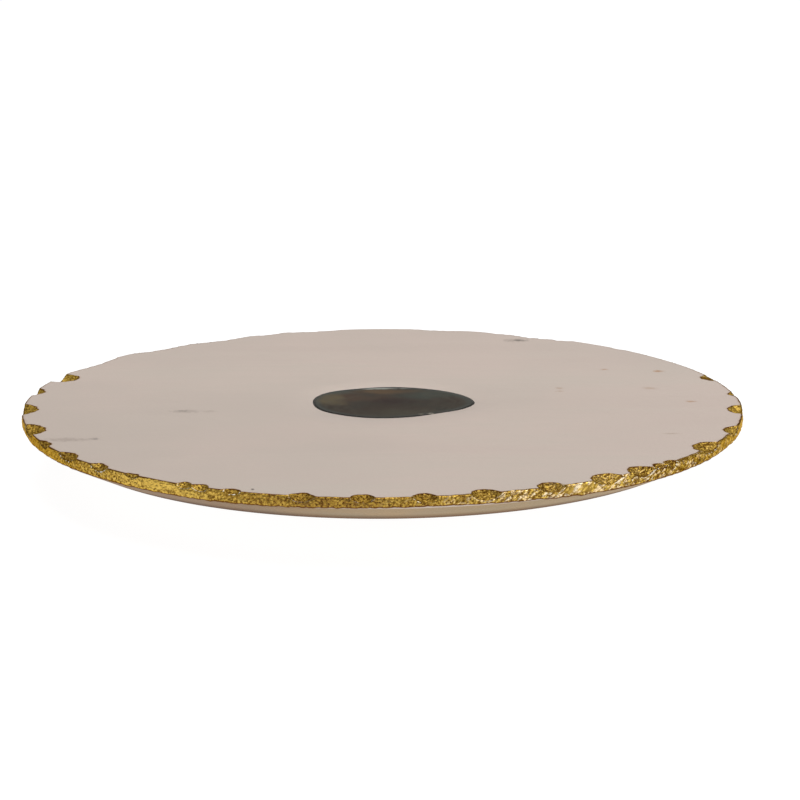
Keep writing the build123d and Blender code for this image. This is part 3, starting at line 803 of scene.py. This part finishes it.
def turned_metal(name, colour, roughness, lines_per_mm):
    """Metal turned on a lathe about the spin axis: fine concentric tool marks."""
    material, tree, shader, where = new_material(name, colour, roughness, 1.0)
    travel = math_node(tree, "ADD", from_axis(tree, where), split(tree, where)["Z"])
    count = math_node(tree, "MULTIPLY", travel, lines_per_mm / MM)
    inputs = {"W": count, "Scale": 1.0, "Detail": 2.0}
    marks = node(tree, "ShaderNodeTexNoise", inputs, noise_dimensions="1D").outputs["Fac"]
    smears = noise(tree, where, 60.0, 3)
    uneven = step(tree, smears, 0.3, 0.7, roughness - 0.03, roughness + 0.06)
    tree.links.new(uneven, shader.inputs["Roughness"])
    shaded = mix(tree, step(tree, marks, 0.3, 0.7, 0, 0.35), colour, darker(colour, 0.75))
    tree.links.new(shaded, shader.inputs["Base Color"])
    bump(tree, shader, marks, 0.02 * MM, 0.5)
    return material


def plated_metal(name, colour, roughness):
    """Plated or moulded metal with a fine uneven skin."""
    material, tree, shader, where = new_material(name, colour, roughness, 1.0)
    skin = noise(tree, where, 700.0, 3)
    stains = noise(tree, where, 120.0, 3)
    shaded = mix(tree, step(tree, stains, 0.35, 0.75, 0, 0.4), colour, darker(colour, 0.7))
    tree.links.new(shaded, shader.inputs["Base Color"])
    uneven = step(tree, stains, 0.3, 0.7, roughness - 0.05, roughness + 0.12)
    tree.links.new(uneven, shader.inputs["Roughness"])
    bump(tree, shader, skin, 0.02 * MM, 0.3)
    return material


def moulded(name, colour, light, roughness, pores):
    """Moulded rubber, foam or plastic: a pored skin and slightly uneven tone."""
    material, tree, shader, where = new_material(name, colour, roughness)
    skin = noise(tree, where, pores, 3)
    tone = noise(tree, where, 90.0, 3)
    tree.links.new(mix(tree, step(tree, tone, 0.3, 0.7), colour, light), shader.inputs["Base Color"])
    uneven = step(tree, skin, 0.3, 0.7, roughness - 0.05, roughness + 0.08)
    tree.links.new(uneven, shader.inputs["Roughness"])
    bump(tree, shader, skin, 0.06 * MM, 0.35)
    return material


def wood_material():
    """Oiled mango wood: long uneven growth lines, a few darker heartwood streaks, pores along the grain."""
    material, tree, shader, where = new_material("oiled_wood", (0.28, 0.15, 0.07), 0.45)
    grain_turn = (0, 0, math.radians(12))
    growth = noise(tree, stretched(tree, where, (4, 26, 26), grain_turn), 1.0, 3, 0.5, 0.6)
    rings = sine(tree, growth, 95.0)
    fibres = noise(tree, stretched(tree, where, (12, 420, 420), grain_turn), 1.0, 4, 0.65)
    pores = noise(tree, stretched(tree, where, (60, 1400, 1400), grain_turn), 1.0, 2)
    tone = noise(tree, stretched(tree, where, (5, 30, 30), grain_turn), 1.0, 4)
    colour = mix(tree, step(tree, tone, 0.3, 0.7), (0.30, 0.165, 0.075), (0.22, 0.112, 0.048))
    colour = mix(tree, step(tree, rings, -0.2, 1.0, 0, 0.45), colour, (0.15, 0.072, 0.030))
    colour = mix(tree, step(tree, fibres, 0.4, 0.7, 0, 0.5), colour, (0.38, 0.23, 0.12))
    colour = mix(tree, step(tree, pores, 0.58, 0.72, 0, 0.6), colour, (0.07, 0.032, 0.015))
    tree.links.new(colour, shader.inputs["Base Color"])
    tree.links.new(step(tree, fibres, 0.3, 0.7, 0.42, 0.55), shader.inputs["Roughness"])
    bump(tree, shader, pores, 0.05 * MM, 0.3)
    return material


def pieces_named(*starts):
    """CAD nodes whose names begin in one of these ways."""
    return [piece for name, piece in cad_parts.items() if name.startswith(starts)]


marble_look = marble_material()
gold_look = gold_material()
agate_look = agate_material()
resin_look = resin_material()
use(marble_look, marble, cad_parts["marble_disc"])
use(gold_look, gold_leaf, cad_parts["gold_leaf_edge"])
use(agate_look, agate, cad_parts["agate_inlay"])
use(resin_look, resin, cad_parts["inlay_resin"])
aluminium = turned_metal("turned_aluminium", (0.62, 0.63, 0.64), 0.3, 3.0)
steel = plated_metal("polished_steel", (0.6, 0.6, 0.62), 0.12)
zinc = plated_metal("zinc_plate", (0.52, 0.52, 0.50), 0.34)
brass = plated_metal("insert_brass", (0.72, 0.50, 0.18), 0.3)
rubber = moulded("foot_rubber", (0.018, 0.018, 0.018), (0.035, 0.034, 0.032), 0.62, 900.0)
foam = moulded("pad_foam", (0.025, 0.025, 0.025), (0.045, 0.045, 0.045), 0.85, 1600.0)
nylon = moulded("cage_nylon", (0.74, 0.72, 0.64), (0.66, 0.63, 0.55), 0.42, 700.0)
use(aluminium, *pieces_named("inner_race", "outer_race", "ball_fill"))
use(steel, *pieces_named("ball_0", "ball_1", "ball_2"))
use(zinc, *pieces_named("race_screws", "base_screws", "foot_screws", "foot_washers"))
use(brass, *pieces_named("threaded_inserts"))
use(rubber, *pieces_named("foot_1", "foot_2", "foot_3", "foot_4", "foot_5", "foot_6"))
use(foam, *pieces_named("bearing_pad"))
use(nylon, *pieces_named("ball_cage"))
use(wood_material(), *pieces_named("base_disc"))


# ---------------------------------------------------------------- stage, light and camera

FLOOR_COLOUR = (0.13, 0.13, 0.13)


def make_floor():
    """Plain pale floor that glows like a lit shooting table, so that shadows on it stay faint."""
    half = 14.0
    corners = [(-half, -half, 0), (half, -half, 0), (half, half, 0), (-half, half, 0)]
    mesh = bpy.data.meshes.new("floor")
    mesh.from_pydata(corners, [], [(0, 1, 2, 3)])
    floor = bpy.data.objects.new("floor", mesh)
    bpy.context.scene.collection.objects.link(floor)
    material, tree, shader, where = new_material("pale_floor", FLOOR_COLOUR, 0.9, Emission_Strength=0.94)
    shader.inputs["Emission Color"].default_value = (1, 1, 1, 1)
    tone = mix(tree, noise(tree, where, 3.0), (0.12, 0.12, 0.12), (0.14, 0.14, 0.14))
    tree.links.new(tone, shader.inputs["Base Color"])
    use(material, floor)


def make_light(name, place, aim, size, power):
    """Square softbox at a place, facing a point."""
    lamp = bpy.data.lights.new(name, "AREA")
    lamp.shape = "SQUARE"
    lamp.size = size
    lamp.energy = power
    light = bpy.data.objects.new(name, lamp)
    light.location = place
    light.rotation_euler = (Vector(aim) - Vector(place)).to_track_quat("-Z", "Y").to_euler()
    bpy.context.scene.collection.objects.link(light)


def make_camera():
    """Camera low in front, with a long lens, aimed a little right of and above the turntable's centre."""
    distance = 1.429
    elevation = math.radians(13.45)
    swing, tilt, roll = math.radians(0.37302), math.radians(0.04903), math.radians(-0.22)
    data = bpy.data.cameras.new("camera")
    data.sensor_width = 36.0
    data.lens = 120.96
    data.clip_end = 60
    camera = bpy.data.objects.new("camera", data)
    camera.location = Vector((0, 0, TOP)) + distance * Vector((0, -math.cos(elevation), math.sin(elevation)))
    aimed = Euler((math.pi / 2 - elevation, 0, 0)).to_matrix() @ Euler((tilt, -swing, 0)).to_matrix()
    camera.rotation_euler = (aimed @ Euler((0, 0, roll)).to_matrix()).to_euler()
    bpy.context.scene.collection.objects.link(camera)
    bpy.context.scene.camera = camera


def make_world():
    """Soft surroundings: pale low down, darker walls above that, a brighter ceiling."""
    world = bpy.data.worlds.new("studio")
    bpy.context.scene.world = world
    world.use_nodes = True
    tree = world.node_tree
    direction = tree.nodes.new("ShaderNodeTexCoord").outputs["Generated"]
    up = node(tree, "ShaderNodeSeparateXYZ", {"Vector": direction}).outputs["Z"]
    low = step(tree, up, 0.03, 0.16, 0.45, 0.0)
    high = step(tree, up, 0.25, 0.75, 0.12, 0.42)
    tree.links.new(math_node(tree, "ADD", low, high), tree.nodes["Background"].inputs["Strength"])
    tree.nodes["Background"].inputs["Color"].default_value = (1, 1, 1, 1)


make_floor()
make_world()
make_light("overhead", (0.25, 0.15, 2.0), (0, 0, 0), 2.2, 40)
make_light("front_right", (2.0, -1.6, 1.2), (0, 0, 0), 2.4, 17)
make_camera()
bpy.context.scene.view_settings.view_transform = "Standard"
